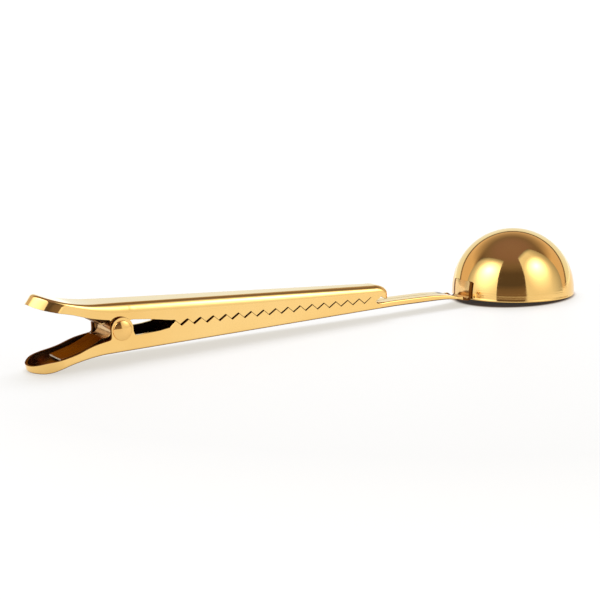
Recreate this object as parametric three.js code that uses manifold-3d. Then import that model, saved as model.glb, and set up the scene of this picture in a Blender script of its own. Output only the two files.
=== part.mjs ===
import * as THREE from 'three';
import { mergeVertices } from 'three/addons/utils/BufferGeometryUtils.js';
import Module from 'manifold-3d';

// A sprung bag clip whose handle ends in a measuring scoop, lying bowl down.
// Millimetres. +X runs from the levers to the bowl, +Z is up, and Y = 0 is the mirror plane.
// Lengths below are counted from a point just beside the rivet; the last lines move the origin
// to the middle of the underside, where the clip meets the table.

const wasm = await Module();
wasm.setup();

// Sheet metal
const SHEET = 0.8; // stamped arms
const BOWL_SHEET = 0.8; // spun bowl
const GAP = 0.3; // clearance between neighbouring pieces

// Arms in plan: both taper from the levers to the nose. The jaw's walls fit between the handle's
// ears at the rivet and stand flush with the handle's walls at the nose.
const HANDLE = { halfWidth: 7.4, taper: 0.0425, leverRadius: 8.2, leverStretch: 1 };
const JAW = { halfWidth: 6.3, taper: 0.0295, leverRadius: 6.9, leverStretch: 1.15 };

// Handle arm
const REST_HEIGHT = 9.88; // depth of the table below the datum
const FLOOR = -6.7; // underside of its floor
const LOWER_TIP = -24.5; // end of its lever
const LOWER_LEVER_ANGLE = THREE.MathUtils.degToRad(-9);
const NECK_START = 83.3; // end of the last tooth
const NECK_HALF_WIDTH = 3.6;
const HEM_START = 84.2; // from here the flanges are folded flat over the floor
const HEM_END = 110.9;
const SEAM_WIDTH = 0.3; // between the two folded edges
const STRIP_END = 114.6; // where the floor runs into the weld tab

// Jaw arm
const TOP_AT_RIVET = 6.7; // top face above the rivet
const TOP_SLOPE = 0.0774; // fall of the top face per millimetre
const LEVER_BEND = 44.5; // radius of the lever's upward curve
const LEVER_BEND_START = -5;
const UPPER_TIP = new THREE.Vector2(-21.6, 11.4); // end of its lever, on the top face
const UPPER_LEVER_ANGLE = THREE.MathUtils.degToRad(38);
const NOSE = 87.5;
const NOSE_CORNER = 1.3; // in plan
const NOSE_LENGTH = 4.5; // the top face rounds down to the nose over this length
const NOSE_DROP = 2.6;

// Teeth: one zigzag line, cut into both arms' flanges
const TOOTH_PITCH = 4.0;
const TOOTH_DEPTH = 1.5;
const TOOTH_LEAN = 2.3; // from a valley to the next peak
const TOOTH_COUNT = 16;
const FIRST_VALLEY = 18.73;
const VALLEY_AT_RIVET = -1.24;
const VALLEY_SLOPE = -0.0396;

// Rivet and ears
const RIVET = new THREE.Vector2(0.6, -0.7);
const EAR = { x: 0.7, z: -0.3, radius: 3.25 };
const JAW_EAR_RADIUS = 2.8;
const JAW_EAR_DROP = 0.2; // how far the jaw ear's round end sits below the rivet
const SHANK_RADIUS = 1.5;
const HEAD_RADIUS = 2.75;
const HEAD_HEIGHT = 1.3;

// Spring
const SPRING_THICKNESS = 0.5;
const SPRING_WIDTH = 9.6;
const SPRING_BEND_X = -3.6; // centre of its bend, whose back stands beside the shank
const SPRING_BEND = 2.15; // radius of its middle line there
const SPRING_END = -16.5;

// Bowl
const BOWL_RADIUS = 18.7;
const BOWL_SKIRT = 1.36; // straight wall below the hemisphere
const BOWL_X = 133.9;
const BOWL_TILT = THREE.MathUtils.degToRad(2.65);
const TAB_HALF_WIDTH = 4.65;
const TAB_HEIGHT = 5.5;

const FAR = 40; // longer than any cut needs to be
const point = (x, y) => new THREE.Vector2(x, y);
const widthAt = (arm, x) => arm.halfWidth - arm.taper * x;

// Solids and booleans

function toSolid(geometry) {
  const bare = geometry.clone();
  bare.deleteAttribute('normal');
  bare.deleteAttribute('uv');
  const merged = mergeVertices(bare, 1e-4);
  const corners = merged.index.array;
  const kept = [];
  for (let i = 0; i < corners.length; i += 3) {
    const [a, b, c] = [corners[i], corners[i + 1], corners[i + 2]];
    if (a !== b && b !== c && c !== a) kept.push(a, b, c);
  }
  const vertProperties = merged.attributes.position.array;
  return new wasm.Manifold(new wasm.Mesh({ numProp: 3, vertProperties, triVerts: new Uint32Array(kept) }));
}

function toGeometry(solid) {
  const { vertProperties, triVerts } = solid.getMesh();
  const geometry = new THREE.BufferGeometry();
  geometry.setAttribute('position', new THREE.BufferAttribute(vertProperties, 3));
  geometry.setIndex(new THREE.BufferAttribute(triVerts, 1));
  geometry.computeVertexNormals();
  return geometry;
}

// A closed outline in X and Y, extruded from one height to another.
function upright(outline, low, high, curveSegments = 16) {
  const shape = outline instanceof THREE.Shape ? outline : new THREE.Shape(outline);
  const options = { depth: high - low, bevelEnabled: false, curveSegments };
  return new THREE.ExtrudeGeometry(shape, options).translate(0, 0, low);
}

// A closed outline in X and Z, extruded across Y.
function across(outline, low, high, curveSegments = 16) {
  return upright(outline, -high, -low, curveSegments).rotateX(Math.PI / 2);
}

function smooth(points, steps) {
  return new THREE.SplineCurve(points.map(([x, z]) => point(x, z))).getPoints(steps);
}

// Points of an arc, angles in degrees.
function arc(cx, cz, radius, from, to, steps) {
  const [a, b] = [THREE.MathUtils.degToRad(from), THREE.MathUtils.degToRad(to)];
  return new THREE.EllipseCurve(cx, cz, radius, radius, a, b, b < a).getPoints(steps);
}

const raised = (points, height) => points.map((p) => point(p.x, p.y + height));

// The zigzag from its first peak to its last, moved up by half the gap or down by it.
function zigzag(shift) {
  const points = [];
  for (let i = 0; i <= TOOTH_COUNT; i++) {
    const peak = FIRST_VALLEY + (i - 1) * TOOTH_PITCH + TOOTH_LEAN;
    const base = VALLEY_AT_RIVET + shift;
    points.push(point(peak, base + VALLEY_SLOPE * peak + TOOTH_DEPTH));
    const valley = FIRST_VALLEY + i * TOOTH_PITCH;
    if (i < TOOTH_COUNT) points.push(point(valley, base + VALLEY_SLOPE * valley));
  }
  return points;
}

// A lever's round end seen square to its surface: everything past half an ellipse at the tip is cut.
// The sides open out, so that only the end is shaped.
function leverEnd(arm, tip, angle, inset) {
  const beside = arm.leverRadius - inset;
  const along = arm.leverRadius * arm.leverStretch - inset;
  const centre = inset + along;
  const shape = new THREE.Shape();
  shape.moveTo(centre, -beside);
  shape.lineTo(centre + 150, -beside - 12);
  shape.lineTo(centre + 150, beside + 12);
  shape.lineTo(centre, beside);
  shape.absellipse(centre, 0, along, beside, Math.PI / 2, (3 * Math.PI) / 2, false, 0);
  return toSolid(upright(shape, -FAR, FAR, 20).rotateY(angle).translate(tip.x, 0, tip.y));
}

// Handle arm: lever, lower jaw, hemmed neck and weld tab in one stamping

const lowerTip = point(LOWER_TIP, -REST_HEIGHT);

function handleFloor() {
  const lever = smooth(
    [[-32, -REST_HEIGHT], [-25, -REST_HEIGHT], [-21.2, -9.82], [-18.2, -9.02], [-14.9, -8.12], [-9.9, -7.2],
      [-4, FLOOR]],
    18,
  );
  const neck = smooth(
    [[86, FLOOR], [97, -6.88], [106.5, -7.04], [109.6, -7.28], [111.8, -7.74], [113.4, -8.25],
      [STRIP_END, -8.45]],
    14,
  );
  return [...lever, ...neck];
}

function handleOutline() {
  const floor = handleFloor();
  const strip = raised(floor.filter((p) => p.x > HEM_END), SHEET).reverse();
  const hemTop = smooth(
    [[HEM_END, -6.6], [109.2, -5.98], [107.3, -5.74], [102.8, -5.32], [96.5, -5.13], [NECK_START, -5.0]],
    12,
  );
  const teeth = zigzag(-0.6 * GAP).reverse();
  const windowEdge = [point(15.05, -2.04), point(11.7, -2.42), point(5.6, -2.59), point(4.6, -2.3)];
  const ear = [...arc(EAR.x, EAR.z, EAR.radius, -12, 180, 20), point(EAR.x - EAR.radius, -2.4)];
  const lever = smooth(
    [[-3.0, -2.92], [-5.06, -3.19], [-7.5, -3.62], [-9.9, -4.29], [-12.3, -5.13], [-14.7, -5.71],
      [-17.5, -6.2], [-21.5, -6.85], [-24.5, -7.75], [-32, -9.0]],
    18,
  );
  return [...floor, ...strip, ...hemTop, ...teeth, ...windowEdge, ...ear, ...lever];
}

// Plan of the handle arm, inset for its inner face. It opens out again where it meets the bowl.
function handlePlan(inset) {
  const side = [
    point(-FAR, widthAt(HANDLE, -FAR)),
    point(88, widthAt(HANDLE, 88)),
    point(92, NECK_HALF_WIDTH),
    point(102, NECK_HALF_WIDTH),
    ...smooth([[106.5, 3.8], [109.6, 4.15], [111.8, 4.45], [113.4, TAB_HALF_WIDTH]], 8),
    point(BOWL_X, TAB_HALF_WIDTH),
  ];
  const upper = side.map((p) => point(p.x, p.y - inset));
  const lower = upper.map((p) => point(p.x, -p.y)).reverse();
  return toSolid(upright([...lower, ...upper], -FAR, FAR));
}

// The tab is bent up from the neck and follows the bowl's wall, to which it is welded.
function weldTab() {
  const inner = BOWL_RADIUS + GAP;
  const rise = THREE.MathUtils.radToDeg(Math.asin((TAB_HEIGHT - BOWL_SKIRT) / inner));
  const wall = (radius) => [point(radius, -0.2), ...arc(0, BOWL_SKIRT, radius, 0, rise, 6)];
  const profile = [...wall(inner + SHEET), ...wall(inner).reverse()];
  profile.push(profile[0].clone());
  const ring = new THREE.LatheGeometry(profile, 96).rotateX(Math.PI / 2);
  const keep = [
    point(-FAR, -TAB_HALF_WIDTH),
    point(0, -TAB_HALF_WIDTH),
    point(0, TAB_HALF_WIDTH),
    point(-FAR, TAB_HALF_WIDTH),
  ];
  const tab = toSolid(ring).intersect(toSolid(upright(keep, -FAR, FAR)));
  return toSolid(placeAtBowl(toGeometry(tab)));
}

// Open channel up to the neck. There the flanges lie flat on the floor, and only their seam shows.
function handleArm() {
  const floor = raised(handleFloor(), SHEET).filter((p) => p.x < HEM_START - 1);
  const hollow = [...floor, point(HEM_START, floor.at(-1).y), point(HEM_START, FAR), point(-32, FAR)];
  const seam = [point(HEM_START - 1, -5.9), point(HEM_END - 2, -6.35), point(HEM_END - 2, FAR),
    point(HEM_START - 1, FAR)];
  const outside = toSolid(across(handleOutline(), -FAR, FAR))
    .intersect(handlePlan(0))
    .intersect(leverEnd(HANDLE, lowerTip, LOWER_LEVER_ANGLE, 0));
  const inside = toSolid(across(hollow, -FAR, FAR))
    .intersect(handlePlan(SHEET))
    .intersect(leverEnd(HANDLE, lowerTip, LOWER_LEVER_ANGLE, SHEET));
  return outside
    .subtract(inside)
    .subtract(toSolid(across(seam, -SEAM_WIDTH / 2, SEAM_WIDTH / 2)))
    .add(weldTab())
    .subtract(rivetHole());
}

function rivetHole() {
  const radius = SHANK_RADIUS + GAP;
  const hole = new THREE.CylinderGeometry(radius, radius, 2 * FAR, 32);
  return toSolid(hole.translate(RIVET.x, 0, RIVET.y));
}

// Jaw arm: lever and toothed upper jaw in one stamping, open below

function jawTop(drop) {
  const lever = [];
  for (let x = -32; x < LEVER_BEND_START; x += 1.8) {
    const past = x - LEVER_BEND_START;
    lever.push(point(x, TOP_AT_RIVET - TOP_SLOPE * x + (past * past) / (2 * LEVER_BEND)));
  }
  const noseStart = NOSE - NOSE_LENGTH;
  const noseCentre = TOP_AT_RIVET - TOP_SLOPE * noseStart - NOSE_DROP;
  const radii = [NOSE_LENGTH - drop, NOSE_DROP - drop];
  const nose = new THREE.EllipseCurve(noseStart, noseCentre, ...radii, Math.PI / 2, 0, true).getPoints(8);
  const bendStart = TOP_AT_RIVET - TOP_SLOPE * LEVER_BEND_START;
  return [...raised(lever, -drop), point(LEVER_BEND_START, bendStart - drop), ...nose];
}

function jawOutline() {
  const teeth = zigzag(0.6 * GAP).reverse();
  const noseTeeth = [point(NOSE, -3.95), point(86.5, -4.1), point(84.8, -3.0), point(82.9, -4.35)];
  const windowEdge = [point(17.0, -0.35), point(9.7, 1.0), point(RIVET.x + JAW_EAR_RADIUS, 1.75)];
  const ear = arc(RIVET.x, RIVET.y - JAW_EAR_DROP, JAW_EAR_RADIUS, 0, -180, 14);
  const lever = smooth(
    [[RIVET.x - JAW_EAR_RADIUS, 2.4], [-4.05, 2.73], [-8.7, 3.86], [-13.25, 5.39], [-17.85, 6.57],
      [-22.35, 8.04], [-25.4, 9.7], [-32, 14.2]],
    16,
  );
  return [...jawTop(0), ...noseTeeth, ...teeth, ...windowEdge, ...ear, ...lever];
}

function jawPlan(inset) {
  const end = NOSE - inset;
  const corner = NOSE_CORNER - inset;
  const side = widthAt(JAW, end) - inset;
  const shape = new THREE.Shape();
  shape.moveTo(-FAR, -widthAt(JAW, -FAR) + inset);
  shape.lineTo(end - corner, -side);
  shape.absarc(end - corner, -side + corner, corner, -Math.PI / 2, 0, false);
  shape.absarc(end - corner, side - corner, corner, 0, Math.PI / 2, false);
  shape.lineTo(-FAR, widthAt(JAW, -FAR) - inset);
  return toSolid(upright(shape, -FAR, FAR, 8));
}

function jawArm() {
  const under = [...jawTop(SHEET), point(NOSE - SHEET, -FAR), point(-32, -FAR)];
  const outside = toSolid(across(jawOutline().reverse(), -FAR, FAR))
    .intersect(jawPlan(0))
    .intersect(leverEnd(JAW, UPPER_TIP, UPPER_LEVER_ANGLE, 0));
  const inside = toSolid(across(under.reverse(), -FAR, FAR))
    .intersect(jawPlan(SHEET))
    .intersect(leverEnd(JAW, UPPER_TIP, UPPER_LEVER_ANGLE, SHEET));
  return outside.subtract(inside).subtract(rivetHole());
}

// Rivet: a plain shank and two domed heads outside the ears

function rivet() {
  const under = widthAt(HANDLE, RIVET.x - HEAD_RADIUS) + GAP;
  const domeRadius = (HEAD_RADIUS ** 2 + HEAD_HEIGHT ** 2) / (2 * HEAD_HEIGHT);
  const centre = under + HEAD_HEIGHT - domeRadius;
  const edge = THREE.MathUtils.radToDeg(Math.asin((under - centre) / domeRadius));
  const dome = arc(0, centre, domeRadius, edge, 90, 8);
  const half = [point(SHANK_RADIUS, under), ...dome];
  const mirrored = half.map((p) => point(p.x, -p.y)).reverse();
  const profile = [...mirrored, ...half];
  profile[0].x = 0;
  profile.at(-1).x = 0;
  return toSolid(new THREE.LatheGeometry(profile, 32).translate(RIVET.x, 0, RIVET.y));
}

// Spring: a flat strip bent back on itself beside the shank, one leg along each lever

function springLine() {
  const bend = arc(SPRING_BEND_X, RIVET.y, SPRING_BEND, -110, 110, 16);
  const lowerLeg = new THREE.QuadraticBezierCurve(
    point(SPRING_END, -6.9),
    point(-9, -5.5),
    bend[0],
  ).getPoints(8);
  const upperLeg = new THREE.QuadraticBezierCurve(
    bend.at(-1),
    point(-8.5, 4.4),
    point(SPRING_END, 7.95),
  ).getPoints(8);
  return [...lowerLeg.slice(0, -1), ...bend, ...upperLeg.slice(1)];
}

function spring() {
  const line = springLine();
  const beside = (side) =>
    line.map((p, i) => {
      const along = line[Math.min(i + 1, line.length - 1)].clone().sub(line[Math.max(i - 1, 0)]).normalize();
      return point(p.x - along.y * side, p.y + along.x * side);
    });
  const outline = [...beside(-SPRING_THICKNESS / 2), ...beside(SPRING_THICKNESS / 2).reverse()];
  return toSolid(across(outline, -SPRING_WIDTH / 2, SPRING_WIDTH / 2));
}

// Bowl: a short straight wall and a half sphere, mouth down

function placeAtBowl(geometry) {
  const rimCentre = -REST_HEIGHT + BOWL_RADIUS * Math.sin(BOWL_TILT);
  return geometry.rotateY(BOWL_TILT).translate(BOWL_X, 0, rimCentre);
}

function bowl() {
  const wall = (radius) => [point(radius, 0), ...arc(0, BOWL_SKIRT, radius, 0, 90, 12)];
  const outer = wall(BOWL_RADIUS);
  const inner = wall(BOWL_RADIUS - BOWL_SHEET);
  outer.at(-1).x = 0;
  inner.at(-1).x = 0;
  const lathe = new THREE.LatheGeometry([...inner.reverse(), ...outer], 56);
  return toSolid(placeAtBowl(lathe.rotateX(Math.PI / 2)));
}

// Assembly

const GOLD = { color: 0xe9b765, roughness: 0.12, metalness: 1 };

function piece(name, solid, finish = {}) {
  const mesh = new THREE.Mesh(toGeometry(solid), new THREE.MeshStandardMaterial({ ...GOLD, ...finish }));
  mesh.name = name;
  return mesh;
}

const group = new THREE.Group();
group.add(piece('handle_arm', handleArm()));
group.add(piece('jaw_arm', jawArm()));
group.add(piece('scoop_bowl', bowl(), { roughness: 0.08 }));
group.add(piece('pivot_rivet', rivet(), { roughness: 0.15 }));
group.add(piece('leaf_spring', spring(), { color: 0xc99a58, roughness: 0.3 }));

const box = new THREE.Box3().setFromObject(group);
const middle = box.getCenter(new THREE.Vector3());
group.position.set(-middle.x, -middle.y, -box.min.z);

export default group;
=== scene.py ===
import math

import bmesh
import bpy
from mathutils import Matrix, Vector

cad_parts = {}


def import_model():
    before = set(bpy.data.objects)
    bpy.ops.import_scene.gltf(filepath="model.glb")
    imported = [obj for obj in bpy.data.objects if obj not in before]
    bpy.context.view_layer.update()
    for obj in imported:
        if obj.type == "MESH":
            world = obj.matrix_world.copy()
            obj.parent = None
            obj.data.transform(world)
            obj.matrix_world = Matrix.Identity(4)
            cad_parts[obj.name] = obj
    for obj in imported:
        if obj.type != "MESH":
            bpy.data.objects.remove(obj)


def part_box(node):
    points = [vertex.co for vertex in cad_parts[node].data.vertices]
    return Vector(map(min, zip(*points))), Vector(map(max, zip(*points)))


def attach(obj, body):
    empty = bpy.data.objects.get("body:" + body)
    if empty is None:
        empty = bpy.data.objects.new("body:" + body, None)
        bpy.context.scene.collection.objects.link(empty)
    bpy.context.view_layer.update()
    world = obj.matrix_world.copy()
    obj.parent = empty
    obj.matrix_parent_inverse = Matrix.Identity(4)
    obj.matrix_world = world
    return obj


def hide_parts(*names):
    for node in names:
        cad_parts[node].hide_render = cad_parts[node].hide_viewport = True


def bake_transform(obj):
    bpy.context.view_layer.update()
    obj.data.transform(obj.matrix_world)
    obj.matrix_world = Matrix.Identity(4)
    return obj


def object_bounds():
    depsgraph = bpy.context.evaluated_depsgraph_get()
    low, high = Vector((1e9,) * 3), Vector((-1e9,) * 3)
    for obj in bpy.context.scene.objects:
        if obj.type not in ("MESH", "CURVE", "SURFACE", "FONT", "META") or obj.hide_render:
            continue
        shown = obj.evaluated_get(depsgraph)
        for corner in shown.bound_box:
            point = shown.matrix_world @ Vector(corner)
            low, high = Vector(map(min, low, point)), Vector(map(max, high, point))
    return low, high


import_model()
cad_low, cad_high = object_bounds()

# ---------------------------------------------------------------- datum
# Shapes are written in millimetres from the same datum as the CAD; the rivet's box says where it is.
MM = 0.001
RIVET = (0.6, -0.7)
EAR = (0.7, -0.3, 3.25)
rivet_low, rivet_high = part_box("pivot_rivet")
OX = (rivet_low[0] + rivet_high[0]) / 2 - RIVET[0] * MM
OZ = (rivet_low[2] + rivet_high[2]) / 2 - RIVET[1] * MM


def world(x, y, z):
    return Vector((x * MM + OX, y * MM, z * MM + OZ))


GROUND = -9.88
SHEET = 0.8
TAB_SHEET = 0.42
# bends of the sheet: the handle's radius, and the jaw's along its wall and along its top
BEND = 0.6
LEVER_BEND = 0.9
TOP_BEND = (3.0, 2.2)
# the small flat between a wall's face and its edge
EDGE = 0.06
# half width at the rivet and how much it shrinks per millimetre towards the bowl
HANDLE = (7.4, 0.0425)
JAW = (6.3, 0.0295)
# the levers' round ends: where each stops, how far its rim leans, and how much it is drawn out
HANDLE_TIP, HANDLE_LEAN = -24.5, math.tan(math.radians(9))
JAW_TIP, JAW_LEAN, JAW_STRETCH = -21.6, math.tan(math.radians(38)), 1.15
JAW_EAR_RADIUS, JAW_EAR_DROP = 2.8, 0.2
# the neck's flanges are folded flat between these two places
HEM_START, HEM_END = 84.2, 110.9
# the tab at the neck's end, welded to the bowl
TAB_HALF, TAB_BEND, TAB_TOP, TAB_CORNER, TAB_GAP = 4.65, 1.15, 5.45, 0.45, 0.12
RIVET_HEAD, RIVET_SHANK, RIVET_RISE = 2.75, 1.5, 0.52
SPRING_X, SPRING_LOOP, SPRING_HALF, SPRING_THICK = -3.6, 2.15, 4.8, 0.25


def width(arm, x):
    return arm[0] - arm[1] * x


# ---------------------------------------------------------------- curves
def curve(points):
    """z(x) through the points, smooth and without overshoot."""
    xs = [p[0] for p in points]
    zs = [p[1] for p in points]
    n = len(xs)
    d = [(zs[i + 1] - zs[i]) / (xs[i + 1] - xs[i]) for i in range(n - 1)]
    m = [d[0]]
    for before, after in zip(d, d[1:]):
        turns_back = before * after <= 0
        m.append(0.0 if turns_back else 2 * before * after / (before + after))
    m.append(d[-1])

    def at(x):
        i = 0
        while i < n - 2 and x > xs[i + 1]:
            i += 1
        h = xs[i + 1] - xs[i]
        t = (x - xs[i]) / h
        a = zs[i] + t * h * m[i]
        if t <= 0:
            return a
        if t >= 1:
            return zs[i + 1] + (x - xs[i + 1]) * m[i + 1]
        return (
            (2 * t**3 - 3 * t**2 + 1) * zs[i]
            + (t**3 - 2 * t**2 + t) * h * m[i]
            + (3 * t**2 - 2 * t**3) * zs[i + 1]
            + (t**3 - t**2) * h * m[i + 1]
        )

    return at


def polyline(points):
    """z(x) along straight lines between the points."""

    def at(x):
        for (x0, z0), (x1, z1) in zip(points, points[1:]):
            if x <= x1:
                return z0 + (z1 - z0) * (x - x0) / (x1 - x0)
        return points[-1][1]

    return at


def steps(a, b, n):
    return [a + (b - a) * i / n for i in range(n + 1)]


def ease(a, b, x):
    t = min(1.0, max(0.0, (x - a) / (b - a)))
    return t * t * (3 - 2 * t)


# ---------------------------------------------------------------- folded sheet
ACROSS, ARC, WALL = 14, 11, 5
SIZE = ACROSS + ARC + 1 + WALL
OUTER, UNDER, SIDE, RIM, INNER = range(5)


def zone_of(k):
    """What a strip of the section belongs to."""
    if k < ACROSS + 7:
        return UNDER
    if k < ACROSS + ARC:
        return OUTER
    if k < SIZE - 1:
        return SIDE
    return RIM if k < SIZE + 2 else INNER


def section(corner, inward, up, edge, bend, chamfer, thick=SHEET):
    """Half a channel's section: outer skin from the mirror plane to the edge, then the inner skin back.
    The bend is part of an ellipse, deeper along the wall than along the floor."""
    c, e = Vector(corner), Vector(edge)
    f, w = Vector(inward).normalized(), Vector(up).normalized()
    rw, rf = bend
    iw, jf = max(rw - thick, 0.03), max(rf - thick, 0.03)
    centre = c + f * rf + w * rw
    inner_centre = c + f * (SHEET + jf) + w * (thick + iw)
    a, ai = centre - w * rw, inner_centre - w * iw
    outer, inner = [], []
    for k in range(ACROSS):
        t = k / ACROSS
        outer.append(Vector((a.x, a.y * t, a.z)))
        inner.append(Vector((ai.x, ai.y * t, ai.z)))
    for k in range(ARC + 1):
        p = math.pi / 2 * k / ARC
        outer.append(centre - f * rf * math.sin(p) - w * rw * math.cos(p))
        inner.append(inner_centre - f * jf * math.sin(p) - w * iw * math.cos(p))
    b, bi = outer[-1].copy(), inner[-1].copy()
    along = e - b
    e_out = e - along.normalized() * min(chamfer, along.length * 0.5)
    ei = e + f * SHEET
    alongi = ei - bi
    e_in = ei - alongi.normalized() * min(chamfer, alongi.length * 0.5)
    for k in range(1, WALL + 1):
        outer.append(b.lerp(e_out, k / WALL))
        inner.append(bi.lerp(e_in, k / WALL))
    return outer + [e + f * chamfer, ei - f * chamfer] + inner[::-1]


def hem(x, half, low, high):
    """Half the neck's section: the flange is folded flat, so the side is round and a seam runs on top."""
    radius = (high - low) / 2
    middle = (high + low) / 2
    points = []
    for k in range(ACROSS):
        points.append(Vector((x, (half - radius) * k / ACROSS, low)))
    turn = ARC + WALL + 3
    for k in range(turn):
        a = -math.pi / 2 + math.pi * k / (turn - 1)
        out, rise = max(math.cos(a), 0.0) ** 0.5, math.copysign(abs(math.sin(a)) ** 0.5, a)
        points.append(Vector((x, half - radius + radius * out, middle + radius * rise)))
    seam = 0.09
    top = SIZE * 2 + 2 - len(points) - 5
    for k in range(1, top + 1):
        points.append(Vector((x, half - radius + (seam + 0.07 - half + radius) * k / top, high)))
    down = [(seam, high - 0.07), (seam, middle + 0.3), (seam, middle + 0.1), (seam / 2, middle), (0, middle)]
    return points + [Vector((x, y, z)) for y, z in down]


def loft(name, halves, paint, bend=None):
    """A closed body from half sections and their mirror images."""
    bm = bmesh.new()
    size = len(halves[0])
    for side in (1, -1):
        rows = []
        for half in halves:
            row = []
            for p in half:
                q = Vector((p.x, p.y * side, p.z))
                if bend:
                    q = bend(q)
                row.append(bm.verts.new(world(q.x, q.y, q.z)))
            rows.append(row)
        for i, (r0, r1) in enumerate(zip(rows, rows[1:])):
            for k in range(size - 1):
                quad = [r0[k], r0[k + 1], r1[k + 1], r1[k]]
                middle = (halves[i][k] + halves[i + 1][k + 1]) / 2
                face = bm.faces.new(quad if side > 0 else quad[::-1])
                face.material_index = paint(zone_of(k), middle.x, side)
        row = rows[-1]
        for k in range(size // 2 - 1):
            quad = [row[k], row[k + 1], row[size - 2 - k], row[size - 1 - k]]
            face = bm.faces.new(quad if side > 0 else quad[::-1])
            face.material_index = paint(RIM, halves[-1][k].x, side)
    bmesh.ops.remove_doubles(bm, verts=bm.verts, dist=2e-6)
    bmesh.ops.dissolve_degenerate(bm, edges=bm.edges, dist=1e-6)
    bmesh.ops.recalc_face_normals(bm, faces=bm.faces)
    return finish_mesh(name, bm, 32)


def finish_mesh(name, bm, sharp):
    me = bpy.data.meshes.new(name)
    bm.to_mesh(me)
    bm.free()
    for poly in me.polygons:
        poly.use_smooth = True
    me.set_sharp_from_angle(angle=math.radians(sharp))
    ob = bpy.data.objects.new(name, me)
    bpy.context.scene.collection.objects.link(ob)
    return ob


# ---------------------------------------------------------------- teeth
PITCH, DEPTH, LEAN, COUNT = 4.0, 1.5, 2.3, 16
FIRST, AT_RIVET, SLOPE = 18.73, -1.24, -0.0396


def zigzag(dx, dz):
    points = []
    for i in range(COUNT + 1):
        peak = FIRST + (i - 1) * PITCH + LEAN
        points.append((peak + dx, AT_RIVET + SLOPE * peak + DEPTH + dz))
        valley = FIRST + i * PITCH
        if i < COUNT:
            points.append((valley + dx, AT_RIVET + SLOPE * valley + dz))
    return points


def fan(edge_points, low, high):
    """Stations at every corner of the edge, with two more between corners."""
    xs = []
    for (x0, _), (x1, _) in zip(edge_points, edge_points[1:]):
        for t in (0, 0.06, 0.5, 0.94):
            x = x0 + (x1 - x0) * t
            if low <= x <= high:
                xs.append(x)
    return xs


# ---------------------------------------------------------------- handle arm
floor_z = curve(
    [(-34, GROUND), (-25, GROUND), (-22.2, -9.86), (-20.2, -9.6), (-17.6, -8.85), (-14.9, -8.12),
     (-12.3, -7.6), (-9.9, -7.2), (-7.2, -6.88), (-4, -6.7), (86, -6.7), (92, -6.76), (97, -6.86),
     (102, -6.95), (106.5, -7.04), (109.6, -7.28), (111.8, -7.74), (113.4, -8.2), (115, -8.5)]
)
ear_arc = []
for k in range(37):
    a = math.radians(180 - 192 * k / 36)
    if k < 34 or EAR[0] + EAR[2] * math.cos(a) > ear_arc[-1][0] + 0.005:
        ear_arc.append((EAR[0] + EAR[2] * math.cos(a), EAR[1] + EAR[2] * math.sin(a)))
lever_rim = curve(
    [(-36, -9.0), (-32, -8.9), (-27, -8.3), (-24.5, -7.75), (-21.5, -6.85), (-17.5, -6.2), (-14.7, -5.71),
     (-12.3, -5.13), (-9.9, -4.29), (-7.5, -3.62), (-5.06, -3.19), (-3.6, -2.98)]
)
handle_edge = (
    [(x, lever_rim(x)) for x in steps(-36, -3.6, 60)]
    + [(-3.1, -2.88), (-2.8, -2.66), (-2.63, -2.3), (-2.57, -1.6)]
    + ear_arc
    + [(3.98, -1.3), (4.22, -2.0), (4.42, -2.36), (4.8, -2.54), (5.4, -2.59), (11.7, -2.42), (15.05, -2.02)]
    + zigzag(0, -0.05)[:-1]
    + [(81.45, -2.62)]
    + [(83.3, -5.0), (88, -4.93), (96.5, -5.12), (102.8, -5.3), (107.3, -5.72), (108.6, -5.95), (109.6, -6.2),
       (110.3, -6.45), (110.9, -6.72)]
)
handle_rim = polyline(handle_edge)


def handle_width(x):
    if x < 86:
        return width(HANDLE, x)
    neck = [(86, width(HANDLE, 86)), (90, 3.62), (102, 3.62), (106.5, 3.8), (109.6, 4.15), (111.8, 4.45)]
    return curve(neck + [(113.4, TAB_HALF), (130, TAB_HALF)])(x)


def lever_round(arm, tip, across):
    """Radius of a lever's round end, and the angle where it meets the straight side."""
    taper = math.atan(arm[1])
    radius = (arm[0] - arm[1] * tip) / (math.cos(taper) + arm[1] * (1 - math.sin(taper)) * across)
    return radius, math.pi / 2 - taper


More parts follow.
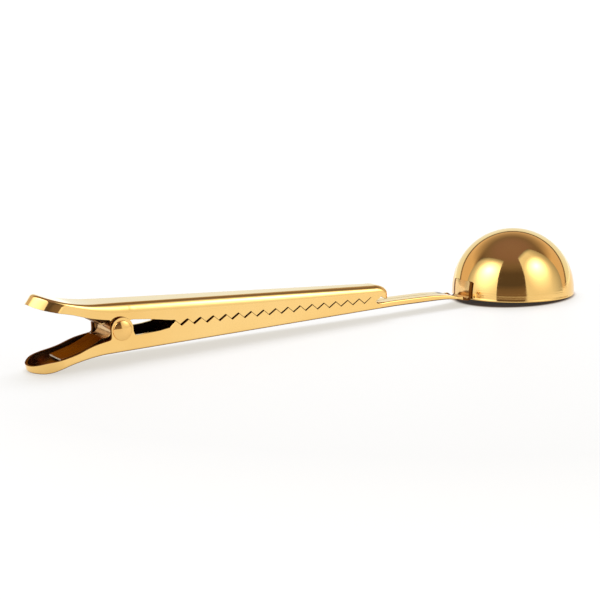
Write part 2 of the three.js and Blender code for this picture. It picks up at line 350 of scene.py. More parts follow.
def handle_halves():
    """Half sections from the lever's round end, along the jaw and the neck, and up the tab."""
    radius, last = lever_round(HANDLE, HANDLE_TIP, 1.0)
    centre = HANDLE_TIP + radius
    halves = []

    def station(x, y, theta, amount):
        z = floor_z(x)
        slope = (floor_z(x + 0.05) - floor_z(x - 0.05)) / 0.1
        inward = (math.cos(theta), -math.sin(theta), slope * math.cos(theta))
        up = Vector((-HANDLE_LEAN * amount, 0, 1))
        ex = x
        for _ in range(4):
            height = max(handle_rim(ex) - z, SHEET)
            ex = x - HANDLE_LEAN * amount * height
        edge = (ex, y, z + height)
        bend = min(BEND, 0.85 * height)
        chamfer = min(EDGE, max(0.005, (height - SHEET) / 2))
        if HEM_START < x < HEM_END:
            halves.append(hem(x, y, z, max(z + height, z + SHEET + 0.02)))
        else:
            halves.append(section((x, y, z), inward, up, edge, (bend, bend), chamfer))

    n = 30
    for k in range(n):
        theta = last * k / n
        station(centre - radius * math.cos(theta), radius * math.sin(theta), theta, 1.0)
    join = centre - radius * math.cos(last)
    xs = steps(join, -3.7, 22) + [x for x, _ in handle_edge if -3.6 < x < 5.3] + steps(6, 15, 9)
    xs += fan([p for p in handle_edge if 14 < p[0] < 84], 15.05, 83.29)
    xs += steps(83.3, 84.1, 3) + [84.21] + steps(85, 106, 26) + steps(106.4, 112.6, 22)
    xs = sorted(set(round(x, 4) for x in xs))
    for x in xs:
        station(x, handle_width(x), math.pi / 2, 1 - ease(join, join + 9, x))
    for x, z, nx, nz, w in tab_path():
        corner = (x, w, z)
        up = Vector((nx, 0, nz))
        edge = Vector(corner) + up * TAB_SHEET
        halves.append(section(corner, (0, -1, 0), up, edge, (0.1, 0.1), 0.04, TAB_SHEET - 0.1))
    return halves


# the bowl lies a little tilted: its axis, radius, and the height of its straight wall
TILT = math.radians(2.65)
BOWL_X, BOWL_R, SKIRT = 133.9, 18.7, 1.36
RIM_Z = GROUND + BOWL_R * math.sin(TILT)


def at_bowl(x, z):
    """From the bowl's own axes, with z up from its rim, to the datum."""
    return (
        BOWL_X + x * math.cos(TILT) + z * math.sin(TILT),
        RIM_Z - x * math.sin(TILT) + z * math.cos(TILT),
    )


def tab_path():
    """Outer skin of the strip's end: round the bend and up the bowl's wall. x, z, normal, half width."""
    out = []
    inner = BOWL_R + TAB_GAP
    bend_height, bend_angle = 1.05, math.radians(108)
    bx, bz = at_bowl(-inner - TAB_BEND, bend_height)
    for k in range(11):
        a = -bend_angle + (bend_angle - TILT) * k / 10
        nx, nz = -math.cos(a), -math.sin(a)
        out.append((bx - TAB_BEND * nx, bz - TAB_BEND * nz, nx, nz, TAB_HALF))
    for k in range(1, 15):
        h = bend_height + (TAB_TOP - bend_height) * k / 14
        rise = max(0.0, h - SKIRT)
        x = -math.sqrt(inner**2 - rise**2)
        px, pz = at_bowl(x, h)
        slant = math.asin(rise / inner)
        d = max(0.0, h - (TAB_TOP - TAB_CORNER))
        w = TAB_HALF - TAB_CORNER + math.sqrt(max(0.0, TAB_CORNER**2 - d**2))
        out.append((px, pz, -math.cos(slant + TILT), math.sin(slant + TILT), w))
    return out


def hug_bowl(p):
    """The tab's face follows the bowl across its width."""
    amount = ease(112.4, 114.2, p.x)
    r = BOWL_R
    return Vector((p.x + amount * (r - math.sqrt(r * r - p.y * p.y)), p.y, p.z))


# material slots of both arms: gold, painted shade, painted deep shade, the tab's gold, painted gap shade and
# painted reflection
GOLD, PAINTED_SHADE, DEEP_SHADE, STREAKED, GAP_SHADE, EAR_REFLECTION = range(6)


def handle_paint(zone, x, side):
    # painted shade: the tab's edges and its back against the bowl are near black, as gap shadow
    if x > 113.0:
        return STREAKED if zone == INNER else GAP_SHADE
    # painted shade: a dark spot on the far flange's end
    if 107.2 < x < 110.4 and side > 0 and zone in (RIM, INNER):
        return GAP_SHADE
    # painted shade: the handle's underside, its lever's rims and the channel's inside are dark brown
    if x > 84.1:
        return PAINTED_SHADE if zone == UNDER else GOLD
    if zone == UNDER:
        return PAINTED_SHADE
    if zone == RIM:
        return PAINTED_SHADE if x < 4.4 else GOLD
    # painted shade: darker still inside the channel between the rivet and the first tooth
    if zone == INNER:
        return DEEP_SHADE if 4 < x < 16 else PAINTED_SHADE
    return GOLD


handle = loft("handle_sheet", handle_halves(), handle_paint, hug_bowl)

# ---------------------------------------------------------------- jaw arm
TOP_SLOPE, NOSE, NOSE_LENGTH, NOSE_DROP = 0.0774, 87.5, 4.5, 2.6


def top_z(x):
    past = min(0.0, x + 5)
    return 6.7 - TOP_SLOPE * x + past * past / 89


lever_edge = curve(
    [(-36, 17), (-25.4, 9.7), (-22.35, 8.04), (-17.85, 6.57), (-13.25, 5.39), (-8.7, 3.86), (-4.05, 2.73),
     (-2.3, 2.42)]
)
jaw_ear = []
for k in range(29):
    a = math.radians(180 + 180 * k / 28)
    beside, below = JAW_EAR_RADIUS * math.cos(a), JAW_EAR_RADIUS * math.sin(a)
    jaw_ear.append((RIVET[0] + beside, RIVET[1] - JAW_EAR_DROP + below))
jaw_edge = (
    [(x, lever_edge(x)) for x in steps(-36, -2.5, 60)]
    + [(-2.26, 2.2), (-2.21, 1.4)]
    + jaw_ear
    + [(3.41, 0.9), (3.5, 1.45), (3.8, 1.66), (4.4, 1.7), (9.7, 1.0), (16.2, -0.22)]
    + zigzag(0.0, 0.17)
    + [(82.75, -4.33), (84.7, -2.98), (86.4, -4.08), (88, -3.9)]
)
jaw_rim = polyline(jaw_edge)


def jaw_halves():
    """Half sections from the lever's round end, along the jaw, and down its nose."""
    radius, last = lever_round(JAW, JAW_TIP, JAW_STRETCH)
    centre = JAW_TIP + radius * JAW_STRETCH
    halves = []

    def station(x, y, theta, amount):
        z = top_z(x)
        slope = (top_z(x + 0.05) - top_z(x - 0.05)) / 0.1
        inward = (math.cos(theta), -math.sin(theta), slope * math.cos(theta))
        down = Vector((-JAW_LEAN * amount, 0, -1))
        ex = x
        for _ in range(12):
            height = z - jaw_rim(ex)
            ex = 0.5 * ex + 0.5 * (x - JAW_LEAN * amount * height)
        edge = (ex, y, jaw_rim(ex))
        full = ease(-16, 2, x)
        room = height if x < 5 else z - (AT_RIVET + SLOPE * x + DEPTH)
        deep, wide = (LEVER_BEND + (size - LEVER_BEND) * full for size in TOP_BEND)
        bend = (min(deep, 0.6 * room), wide)
        halves.append(section((x, y, z), inward, down, edge, bend, EDGE))

    n = 32
    for k in range(n):
        theta = last * k / n
        station(centre - radius * JAW_STRETCH * math.cos(theta), radius * math.sin(theta), theta, 1.0)
    join = centre - radius * JAW_STRETCH * math.cos(last)
    xs = steps(join, -2.6, 24) + [x for x, _ in jaw_edge if -2.5 < x < 4.5] + steps(5, 16, 11)
    xs += fan([p for p in jaw_edge if 16 < p[0] < 84], 16.2, 82.8)
    for x in sorted(set(round(x, 4) for x in xs)):
        station(x, width(JAW, x), math.pi / 2, 1 - ease(join, join + 9, x))
    start = NOSE - NOSE_LENGTH
    zc = top_z(start) - NOSE_DROP
    edges = steps(83, 84.7, 9) + steps(84.9, 86.3, 9)
    count = len(edges)
    for k, ex in enumerate(edges):
        u = math.pi / 2 * (1 - min(1.0, k / (count - 4)))
        x = start + NOSE_LENGTH * math.cos(u)
        z = zc + NOSE_DROP * math.sin(u)
        if k > count - 4:
            z = zc + (-3.95 - zc) * (k - count + 4) / 3
        normal = Vector((-math.cos(u) / NOSE_LENGTH, 0, -math.sin(u) / NOSE_DROP)).normalized()
        edge = (ex, width(JAW, ex), jaw_rim(ex))
        deep = 0.6 * (top_z(start) - (AT_RIVET + SLOPE * start + DEPTH)) * (1 - 0.3 * k / count)
        halves.append(section((x, width(JAW, x), z), (0, -1, 0), normal, edge, (deep, TOP_BEND[1]), EDGE))
    return halves


def jaw_paint(zone, x, side):
    # painted shade: the jaw lever's rims, the teeth's rims and the channel's inside are dark brown
    if zone == RIM:
        return PAINTED_SHADE if x < -2 or 16.5 < x < 82 else GOLD
    if zone != INNER:
        return GOLD
    # painted reflection on the ear's inner face
    if -2.6 < x < 3.0:
        return EAR_REFLECTION
    # painted shade: darker still inside the channel between the ear and the first tooth
    return DEEP_SHADE if 3 < x < 16 else PAINTED_SHADE


jaw = loft("jaw_sheet", jaw_halves(), jaw_paint)


# ---------------------------------------------------------------- turned pieces
def lathe(name, profile, segments, place, closed=True, sharp=40):
    """A profile of radius and height turned about the third axis, each point then put in its place."""
    bm = bmesh.new()
    turn = [2 * math.pi * k / segments for k in range(segments)]
    rings = []
    for r, h in profile:
        if r < 1e-6:
            rings.append([bm.verts.new(place(Vector((0, 0, h))))])
        else:
            rings.append([bm.verts.new(place(Vector((r * math.cos(a), r * math.sin(a), h)))) for a in turn])
    pairs = list(zip(rings, rings[1:]))
    if closed:
        pairs.append((rings[-1], rings[0]))
    for a, b in pairs:
        for k in range(segments):
            n = (k + 1) % segments
            if len(a) == 1 and len(b) == 1:
                continue
            if len(a) == 1:
                bm.faces.new([a[0], b[k], b[n]])
            elif len(b) == 1:
                bm.faces.new([a[k], b[0], a[n]])
            else:
                bm.faces.new([a[k], b[k], b[n], a[n]])
    bmesh.ops.recalc_face_normals(bm, faces=bm.faces)
    return finish_mesh(name, bm, sharp)


def bowl_place(p):
    x, z = at_bowl(p.x, p.z)
    return world(x, p.y, z)


def bowl_profile():
    """A rolled rim, a short straight wall and a dome outside, and the same inside one sheet further in."""
    outer = [(BOWL_R - 0.32, 0.0), (BOWL_R - 0.12, 0.03), (BOWL_R + 0.03, 0.14), (BOWL_R + 0.08, 0.32),
             (BOWL_R + 0.05, 0.5), (BOWL_R, 0.72), (BOWL_R, 1.0)]
    for k in range(61):
        a = math.pi / 2 * k / 60
        outer.append((BOWL_R * math.cos(a) if k < 60 else 0.0, SKIRT + BOWL_R * math.sin(a)))
    r = BOWL_R - SHEET
    inner = [(0.0, SKIRT + r)]
    for k in range(59, -1, -1):
        a = math.pi / 2 * k / 60
        inner.append((r * math.cos(a), SKIRT + r * math.sin(a)))
    inner += [(r, 0.6), (r + 0.02, 0.2), (r + 0.14, 0.05), (r + 0.34, 0.0)]
    return outer + inner


bowl = lathe("bowl_spun", bowl_profile(), 160, bowl_place)


def rivet_profile():
    """Both heads and the shank: a low dome with a rolled edge, seated on the ear."""
    seat = width(HANDLE, RIVET[0] - RIVET_HEAD) + 0.02
    dome, foot = RIVET_HEAD - 0.17, seat + 0.31
    head = [(RIVET_SHANK, seat - 0.06), (RIVET_HEAD - 0.25, seat), (RIVET_HEAD - 0.07, seat + 0.05),
            (RIVET_HEAD, seat + 0.14), (RIVET_HEAD - 0.05, seat + 0.24), (dome, foot)]
    for k in range(1, 15):
        r = dome * (1 - k / 14)
        head.append((r, foot + RIVET_RISE * (1 - (r / dome) ** 2)))
    return [(r, -h) for r, h in reversed(head)] + head


def rivet_place(p):
    return world(RIVET[0] + p.x, p.z, RIVET[1] + p.y)


rivet = lathe("rivet_turned", rivet_profile(), 64, rivet_place, closed=False, sharp=50)


# ---------------------------------------------------------------- spring
def bezier(a, b, c, n):
    """n steps from a to c, pulled towards b."""
    points = []
    for i in range(n + 1):
        t = i / n
        p, q, r = (1 - t) ** 2, 2 * t * (1 - t), t * t
        points.append((p * a[0] + q * b[0] + r * c[0], p * a[1] + q * b[1] + r * c[1]))
    return points


STRIP_SHADED, STRIP_END_HIGHLIGHT, STRIP_LIT = range(3)


def spring_piece():
    """A flat strip bent to a U beside the rivet, one leg lying along each lever."""
    thick = SPRING_THICK
    turn = []
    for k in range(25):
        a = math.radians(-110 + 220 * k / 24)
        turn.append((SPRING_X + SPRING_LOOP * math.cos(a), RIVET[1] + SPRING_LOOP * math.sin(a)))
    line = bezier((-16.5, -6.9), (-9, -5.5), turn[0], 16)[:-1] + turn
    line += bezier(turn[-1], (-8.5, 4.4), (-16.5, 7.95), 16)[1:]
    bm = bmesh.new()
    rows = []
    c = 0.07
    for i, (x, z) in enumerate(line):
        x0, z0 = line[max(i - 1, 0)]
        x1, z1 = line[min(i + 1, len(line) - 1)]
        length = math.hypot(x1 - x0, z1 - z0)
        nx, nz = -(z1 - z0) / length, (x1 - x0) / length
        ends = min(i, len(line) - 1 - i)
        h = SPRING_HALF - (0.5, 0.2, 0.0)[min(ends, 2)]
        outline = [(-h, -thick + c), (-h, thick - c), (-h + c, thick), (-h / 2, thick), (0, thick)]
        outline += [(h / 2, thick), (h - c, thick)]
        outline += [(-y, -s) for y, s in outline]
        rows.append([bm.verts.new(world(x + nx * s, y, z + nz * s)) for y, s in outline])
    size = len(rows[0])
    for r0, r1 in zip(rows, rows[1:]):
        for k in range(size):
            n = (k + 1) % size
            face = bm.faces.new([r0[k], r0[n], r1[n], r1[k]])
            # painted light: the loop gets the lit gold, the legs get the painted shade
            face.material_index = STRIP_LIT if (r0[0].co.x - OX) / MM > SPRING_X - 1 else STRIP_SHADED
    # painted highlight on both ends of the strip
    for face in (bm.faces.new(rows[0]), bm.faces.new(rows[-1][::-1])):
        face.material_index = STRIP_END_HIGHLIGHT
    bmesh.ops.recalc_face_normals(bm, faces=bm.faces)
    return finish_mesh("spring_strip", bm, 35)


spring = spring_piece()


# ---------------------------------------------------------------- materials
def nodes_of(name):
    mat = bpy.data.materials.new(name)
    mat.use_nodes = True
    tree = mat.node_tree
    return mat, tree, tree.nodes["Principled BSDF"]


def add(tree, kind, **inputs):
    node = tree.nodes.new(kind)
    for key, value in inputs.items():
        if key in node.bl_rna.properties:
            setattr(node, key, value)
        else:
            node.inputs[key.replace("_", " ")].default_value = value
    return node


def ramp(tree, source, low, high, a, b):
    node = add(tree, "ShaderNodeMapRange")
    tree.links.new(source, node.inputs["Value"])
    node.inputs["From Min"].default_value = low
    node.inputs["From Max"].default_value = high
    node.inputs["To Min"].default_value = a
    node.inputs["To Max"].default_value = b
    return node.outputs["Result"]


def gold(name, light, deep, rough, grain, grain_scale, wave=0.0, stretch=(1.0, 1.0, 1.0),
         spin=None, spin_bump=0.0, edge=(1.0, 1.0, 1.0), metal=1.0):
    """Polished plating: a slow drift of colour, fine polishing lines, faint waviness in the sheet."""
    mat, tree, shader = nodes_of(name)
    link = tree.links.new
    place = add(tree, "ShaderNodeTexCoord")
    scale = add(tree, "ShaderNodeMapping")
    scale.inputs["Scale"].default_value = stretch
    link(place.outputs["Object"], scale.inputs["Vector"])
    drift = add(tree, "ShaderNodeTexNoise", Scale=42.0, Detail=3.0, Roughness=0.5)
    link(place.outputs["Object"], drift.inputs["Vector"])
    tint = add(tree, "ShaderNodeMix", data_type="RGBA")
    tint.inputs["A"].default_value = (*light, 1)
    tint.inputs["B"].default_value = (*deep, 1)
    link(ramp(tree, drift.outputs["Fac"], 0.35, 0.7, 0.0, 1.0), tint.inputs["Factor"])
    link(tint.outputs["Result"], shader.inputs["Base Color"])
    lines = add(tree, "ShaderNodeTexNoise", Scale=grain_scale, Detail=6.0, Roughness=0.6)
    link(scale.outputs["Vector"], lines.inputs["Vector"])
    link(ramp(tree, lines.outputs["Fac"], 0.3, 0.75, rough * 0.7, rough * 1.5), shader.inputs["Roughness"])
    shader.inputs["Metallic"].default_value = metal
    shader.inputs["Specular Tint"].default_value = (*edge, 1)
    fine = add(tree, "ShaderNodeBump", Strength=grain, Distance=0.00002)
    link(lines.outputs["Fac"], fine.inputs["Height"])
    last = fine
    if wave:
        slow = add(tree, "ShaderNodeTexNoise", Scale=95.0, Detail=1.0, Roughness=0.4)
        link(place.outputs["Object"], slow.inputs["Vector"])
        soft = add(tree, "ShaderNodeBump", Strength=wave, Distance=0.0002)
        link(slow.outputs["Fac"], soft.inputs["Height"])
        link(fine.outputs["Normal"], soft.inputs["Normal"])
        last = soft
    if spin:
        # turning lines: rings about the bowl's axis, strongest near the rim
        shift = add(tree, "ShaderNodeMapping", vector_type="POINT")
        shift.inputs["Location"].default_value = spin
        shift.inputs["Rotation"].default_value = (0, -TILT, 0)
        link(place.outputs["Object"], shift.inputs["Vector"])
        split = add(tree, "ShaderNodeSeparateXYZ")
        link(shift.outputs["Vector"], split.inputs["Vector"])
        rings = add(
            tree, "ShaderNodeTexNoise", noise_dimensions="1D", Scale=2600.0, Detail=3.0, Roughness=0.7
        )
        link(split.outputs["Z"], rings.inputs["W"])
        near = ramp(tree, split.outputs["Z"], 0.001, 0.009, 1.0, 0.06)
        height = add(tree, "ShaderNodeMath", operation="MULTIPLY")
        link(rings.outputs["Fac"], height.inputs[0])
        link(near, height.inputs[1])
        turned = add(tree, "ShaderNodeBump", Strength=spin_bump, Distance=0.00004)
        link(height.outputs["Value"], turned.inputs["Height"])
        link(last.outputs["Normal"], turned.inputs["Normal"])
        # the wall leans in a little near the rim
        wall = ramp(tree, split.outputs["Z"], -0.004, 0.012, 0.00085, 0.0)
        wall.node.interpolation_type = "SMOOTHERSTEP"
        lean = add(tree, "ShaderNodeBump", Strength=1.0, Distance=1.0)
        link(wall, lean.inputs["Height"])
        link(turned.outputs["Normal"], lean.inputs["Normal"])
        last = lean
    link(last.outputs["Normal"], shader.inputs["Normal"])
    return mat


LIGHT = (0.94, 0.63, 0.235)
DEEP = (0.90, 0.565, 0.185)
# painted shade: a brown edge tint for the reflections of the painted-shade materials
SHADE_BROWN = (0.45, 0.28, 0.18)
ALONG_X = (0.08, 1.0, 1.0)
sheet_gold = gold("gold_sheet", LIGHT, DEEP, 0.075, 0.12, 900.0, wave=0.06, stretch=(0.06, 1.0, 1.0))
# painted shade: dark brown gold for the channels' insides, the handle's underside and the rims
painted_shade_gold = gold(
    "gold_painted_shade", (0.30, 0.16, 0.075), (0.19, 0.10, 0.05), 0.26, 0.3, 700.0, stretch=ALONG_X, edge=SHADE_BROWN
)
# painted shade: near-black gold for the deep recess before the teeth
deep_shade_gold = gold(
    "gold_painted_deep_shade", (0.10, 0.05, 0.02), (0.06, 0.03, 0.012), 0.3, 0.3, 700.0, stretch=ALONG_X, edge=SHADE_BROWN
)
# painted reflection: bright, partly matte gold that the room lights, for the ears' inner faces
ear_reflection_gold = gold(
    "gold_ear_painted_reflection", (0.92, 0.66, 0.36), (0.42, 0.24, 0.10), 0.3, 0.6, 1500.0,
    stretch=(1.0, 1.0, 0.06), metal=0.35,
)
# painted shade: near-black gold for the gaps round the tab and a spot on the far flange
gap_shade_gold = gold("gold_painted_gap_shade", (0.20, 0.075, 0.012), (0.13, 0.045, 0.008), 0.3, 0.4, 500.0)
tab_gold = gold(
    "gold_tab", (0.93, 0.64, 0.29), (0.80, 0.50, 0.19), 0.17, 0.5, 420.0, wave=0.5, stretch=(1.0, 0.25, 1.0)
)
bowl_gold = gold(
    "gold_bowl", LIGHT, DEEP, 0.06, 0.06, 700.0, wave=0.05,
    spin=(-(BOWL_X * MM + OX), 0.0, -(RIM_Z * MM + OZ)), spin_bump=0.9,
)
rivet_gold = gold("gold_rivet", LIGHT, (0.88, 0.53, 0.17), 0.09, 0.2, 800.0, wave=0.3)
# painted shade: dark brown gold for the spring's legs lying in the channels
spring_shade_gold = gold(
    "gold_spring_painted_shade", (0.34, 0.17, 0.07), (0.16, 0.08, 0.03), 0.24, 0.5, 900.0,
    stretch=(0.04, 1.0, 0.04), edge=SHADE_BROWN,
)
# painted highlight: near-white, almost matte gold for the strip's ends
spring_end_highlight = gold("gold_spring_end_painted_highlight", (1.0, 0.93, 0.78), (0.97, 0.86, 0.66), 0.3, 0.2, 900.0, metal=0.1)
# painted light: the lit gold of the spring's loop
spring_loop_lit = gold(
    "gold_spring_loop_lit", (0.95, 0.70, 0.36), (0.62, 0.38, 0.16), 0.16, 0.5, 1400.0, stretch=(0.05, 1.0, 0.05)
)


def paint(ob, *mats):
    """Gives a piece its materials. Clearing the old ones resets its faces, so their slots are put back."""
    slots = [poly.material_index for poly in ob.data.polygons]
    ob.data.materials.clear()
    for mat in mats:
        ob.data.materials.append(mat)
    for poly, slot in zip(ob.data.polygons, slots):
        poly.material_index = slot


for arm in (handle, jaw):
    paint(arm, sheet_gold, painted_shade_gold, deep_shade_gold, tab_gold, gap_shade_gold, ear_reflection_gold)
paint(bowl, bowl_gold)
paint(rivet, rivet_gold)
paint(spring, spring_shade_gold, spring_end_highlight, spring_loop_lit)

# ---------------------------------------------------------------- riding on the CAD bodies
for piece, body, node, slot in (
    (handle, "handle", "handle_arm", "gold_sheet"),
    (jaw, "jaw", "jaw_arm", "gold_sheet"),
    (bowl, "handle", "scoop_bowl", "gold_bowl"),
    (rivet, "handle", "pivot_rivet", "gold_rivet"),
    (spring, None, "leaf_spring", "spring_steel"),
):
    if body:
        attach(piece, body)
    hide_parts(node)
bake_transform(spring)

# ---------------------------------------------------------------- floor
ground = cad_low[2]


def lay_floor():
    """A pale table. It glows a little, as lit paper does, but under the bowl it is painted dark brown with
    almost no glow, as the bowl's shadow.
    """
    floor_mesh = bpy.data.meshes.new("floor")
    bm = bmesh.new()
    bmesh.ops.create_grid(bm, x_segments=8, y_segments=8, size=8)
    bmesh.ops.translate(bm, verts=bm.verts, vec=(0, 0, ground - 0.00002))
    bm.to_mesh(floor_mesh)
    bm.free()
    floor = bpy.data.objects.new("floor", floor_mesh)
    bpy.context.scene.collection.objects.link(floor)
    floor_mat, tree, shader = nodes_of("floor_paper")
    spots = add(tree, "ShaderNodeTexNoise", Scale=9.0, Detail=4.0, Roughness=0.5)
    tone = add(tree, "ShaderNodeMix", data_type="RGBA")
    tone.inputs["A"].default_value = (0.118, 0.128, 0.150, 1)
    tone.inputs["B"].default_value = (0.128, 0.138, 0.160, 1)
    tree.links.new(spots.outputs["Fac"], tone.inputs["Factor"])
    shader.inputs["Roughness"].default_value = 0.55
    shader.inputs["Specular IOR Level"].default_value = 0.1
    spot = add(tree, "ShaderNodeTexCoord")
    away = add(tree, "ShaderNodeVectorMath", operation="DISTANCE")
    tree.links.new(spot.outputs["Object"], away.inputs[0])
    away.inputs[1].default_value = (BOWL_X * MM + OX, 0, ground)
    # painted shadow: dark brown base colour under the bowl
    bowl_shadow_colour = add(tree, "ShaderNodeMix", data_type="RGBA")
    bowl_shadow_colour.inputs["A"].default_value = (0.13, 0.062, 0.03, 1)
    tree.links.new(ramp(tree, away.outputs["Value"], 0.0182, 0.0196, 0.0, 1.0), bowl_shadow_colour.inputs["Factor"])
    tree.links.new(tone.outputs["Result"], bowl_shadow_colour.inputs["B"])
    tree.links.new(bowl_shadow_colour.outputs["Result"], shader.inputs["Base Color"])
    # the glow drops almost to nothing under the bowl as part of the painted shadow, and rises far out
    glow = add(tree, "ShaderNodeMath", operation="ADD")
    tree.links.new(ramp(tree, away.outputs["Value"], 0.0178, 0.0194, 0.03, 0.66), glow.inputs[0])
    tree.links.new(ramp(tree, away.outputs["Value"], 0.18, 0.6, 0.0, 0.6), glow.inputs[1])
    tree.links.new(glow.outputs["Value"], shader.inputs["Emission Strength"])
    shader.inputs["Emission Color"].default_value = (1.0, 0.955, 0.87, 1)
    floor_mesh.materials.append(floor_mat)


lay_floor()


# ---------------------------------------------------------------- lights
def softbox(name, sharp, soft, height, core):
    """A tall upright panel near the bowl, in metres from it: one side edge is sharp, the other fades out.
    Its brightest spot is an oval: the core's place on the panel, its half sizes and its strength."""
    middle = Vector((BOWL_X * MM + OX, 0, ground))
    first, last = Vector((*sharp, 0)), Vector((*soft, 0))
    wide = (last - first).length
    beside = (last - first) / wide
    foot = middle + first
    me = bpy.data.meshes.new(name)
    me.from_pydata([(0, 0, 0), (wide, 0, 0), (wide, height, 0), (0, height, 0)], [], [(0, 1, 2, 3)])
    ob = bpy.data.objects.new(name, me)
    bpy.context.scene.collection.objects.link(ob)
    normal = beside.cross(Vector((0, 0, 1)))
    ob.matrix_world = Matrix(
        (
            (beside.x, 0, normal.x, foot.x),
            (beside.y, 0, normal.y, foot.y),
            (0, 1, 0, foot.z),
            (0, 0, 0, 1),
        )
    )
    mat = bpy.data.materials.new(name)
    mat.use_nodes = True
    t = mat.node_tree
    t.nodes.clear()
    place = add(t, "ShaderNodeTexCoord")
    split = add(t, "ShaderNodeSeparateXYZ")
    t.links.new(place.outputs["Object"], split.inputs["Vector"])
    move = add(t, "ShaderNodeMapping", vector_type="TEXTURE")
    move.inputs["Location"].default_value = (core[0], core[1], 0)
    move.inputs["Scale"].default_value = (core[2], core[3], 1)
    t.links.new(place.outputs["Object"], move.inputs["Vector"])
    glow = add(t, "ShaderNodeTexGradient", gradient_type="QUADRATIC_SPHERE")
    t.links.new(move.outputs["Vector"], glow.inputs["Vector"])
    middle_level = ramp(t, glow.outputs["Fac"], 0.0, 1.0, 0.95, core[4])
    side = ramp(t, split.outputs["X"], wide * 0.6, wide, 1.0, 0.45)
    top = ramp(t, split.outputs["Y"], height * 0.75, height, 1.0, 0.3)
    soft_level = add(t, "ShaderNodeMath", operation="MULTIPLY")
    t.links.new(side, soft_level.inputs[0])
    t.links.new(top, soft_level.inputs[1])
    level = add(t, "ShaderNodeMath", operation="MULTIPLY")
    t.links.new(soft_level.outputs["Value"], level.inputs[0])
    t.links.new(middle_level, level.inputs[1])
    emit = add(t, "ShaderNodeEmission")
    emit.inputs["Color"].default_value = (1.0, 0.99, 0.96, 1)
    t.links.new(level.outputs["Value"], emit.inputs["Strength"])
    out = add(t, "ShaderNodeOutputMaterial")
    t.links.new(emit.outputs["Emission"], out.inputs["Surface"])
    me.materials.append(mat)
    ob.visible_camera = False
    ob.visible_diffuse = False
    return ob


softbox("softbox_left", (-0.231, -0.113), (-0.334, 0.301), 0.47, (0.12, 0.21, 0.21, 0.21, 6.0))
softbox("softbox_right", (-0.051, -0.321), (0.305, -0.111), 0.8, (0.19, 0.23, 0.19, 0.22, 6.0))

# the way from the clip to the far side of the room
BEHIND = (0.559, 0.829)


def hang_key():
    """The round lamp above, seen by no mirror."""
    key_data = bpy.data.lights.new("key", "AREA")
    key_data.shape = "DISK"
    key_data.size = 0.75
    key_data.energy = 19.0
    key = bpy.data.objects.new("key", key_data)
    bpy.context.scene.collection.objects.link(key)
    key_from = Vector((BEHIND[0] * 0.45, BEHIND[1] * 0.45, 0.8))
    key.matrix_world = Matrix.Translation(key_from) @ key_from.to_track_quat("Z", "Y").to_matrix().to_4x4()
    key.visible_glossy = False
    key.visible_camera = False


hang_key()


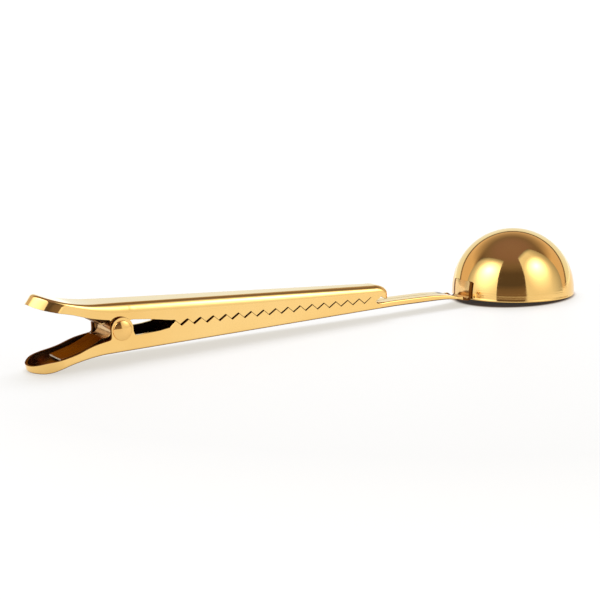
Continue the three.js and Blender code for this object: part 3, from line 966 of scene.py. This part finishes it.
def build_room():
    """White to every ray but a mirror's, which sees a white far side, brown walls and a brown ceiling."""
    world_data = bpy.data.worlds.new("studio")
    bpy.context.scene.world = world_data
    world_data.use_nodes = True
    t = world_data.node_tree
    t.nodes.clear()
    direction = add(t, "ShaderNodeTexCoord")
    behind = add(t, "ShaderNodeVectorMath", operation="DOT_PRODUCT")
    t.links.new(direction.outputs["Generated"], behind.inputs[0])
    behind.inputs[1].default_value = (*BEHIND, -0.773)
    split = add(t, "ShaderNodeSeparateXYZ")
    t.links.new(direction.outputs["Generated"], split.inputs["Vector"])
    around = add(t, "ShaderNodeValToRGB")
    t.links.new(ramp(t, behind.outputs["Value"], -1.0, 1.0, 0.0, 1.0), around.inputs["Fac"])
    bands = around.color_ramp.elements
    bands[0].position, bands[0].color = 0.0, (0, 0, 0, 1)
    bands[1].position, bands[1].color = 1.0, (0, 0, 0, 1)
    for place, level in ((0.30, 0.0), (0.42, 1.0), (0.70, 1.0), (0.715, 0.0)):
        bands.new(place).color = (level, level, level, 1)
    height = add(t, "ShaderNodeValToRGB")
    t.links.new(split.outputs["Z"], height.inputs["Fac"])
    bands = height.color_ramp.elements
    bands[0].position, bands[0].color = 0.0, (0.24, 0.17, 0.125, 1)
    bands[1].position, bands[1].color = 1.0, (0.27, 0.18, 0.17, 1)
    for place, tone in (
        (0.26, (0.19, 0.135, 0.10)),
        (0.36, (0.10, 0.075, 0.06)),
        (0.62, (0.11, 0.08, 0.063)),
        (0.8, (0.21, 0.155, 0.125)),
        (0.94, (0.26, 0.17, 0.165)),
    ):
        bands.new(place).color = (*tone, 1)
    lower = ramp(t, split.outputs["Z"], 0.5, 0.82, 1.0, 0.0)
    sides = add(t, "ShaderNodeMath", operation="MULTIPLY")
    t.links.new(around.outputs["Color"], sides.inputs[0])
    t.links.new(lower, sides.inputs[1])
    walls = add(t, "ShaderNodeMix", data_type="RGBA")
    t.links.new(height.outputs["Color"], walls.inputs["A"])
    walls.inputs["B"].default_value = (0.80, 0.62, 0.47, 1)
    t.links.new(sides.outputs["Value"], walls.inputs["Factor"])
    back = ramp(t, behind.outputs["Value"], 0.49, 0.515, 0.0, 1.0)
    room = add(t, "ShaderNodeMix", data_type="RGBA")
    t.links.new(walls.outputs["Result"], room.inputs["A"])
    room.inputs["B"].default_value = (0.94, 1.02, 0.98, 1)
    t.links.new(back, room.inputs["Factor"])
    path = add(t, "ShaderNodeLightPath")
    pick = add(t, "ShaderNodeMix", data_type="RGBA")
    pick.inputs["A"].default_value = (1.0, 1.0, 1.0, 1)
    t.links.new(path.outputs["Is Glossy Ray"], pick.inputs["Factor"])
    t.links.new(room.outputs["Result"], pick.inputs["B"])
    back_node = add(t, "ShaderNodeBackground")
    t.links.new(pick.outputs["Result"], back_node.inputs["Color"])
    out = add(t, "ShaderNodeOutputWorld")
    t.links.new(back_node.outputs["Background"], out.inputs["Surface"])


build_room()

# ---------------------------------------------------------------- camera


def set_camera():
    """Looks along the clip from its lever end and a little above. The eye is in the datum's millimetres."""
    camera_data = bpy.data.cameras.new("camera")
    camera_data.lens = 113.08
    camera_data.sensor_width = 36
    camera_data.clip_start = 0.01
    camera = bpy.data.objects.new("camera", camera_data)
    bpy.context.scene.collection.objects.link(camera)
    right = Vector((0.87919, -0.47396, -0.04887))
    above = Vector((0.13281, 0.14525, 0.98044))
    ahead = Vector((0.4576, 0.86848, -0.19065))
    eye = world(-190.58, -474.77, 102.95)
    camera.matrix_world = Matrix(
        (
            (right.x, above.x, -ahead.x, eye.x),
            (right.y, above.y, -ahead.y, eye.y),
            (right.z, above.z, -ahead.z, eye.z),
            (0, 0, 0, 1),
        )
    )
    bpy.context.scene.camera = camera


set_camera()
bpy.context.scene.view_settings.view_transform = "Standard"
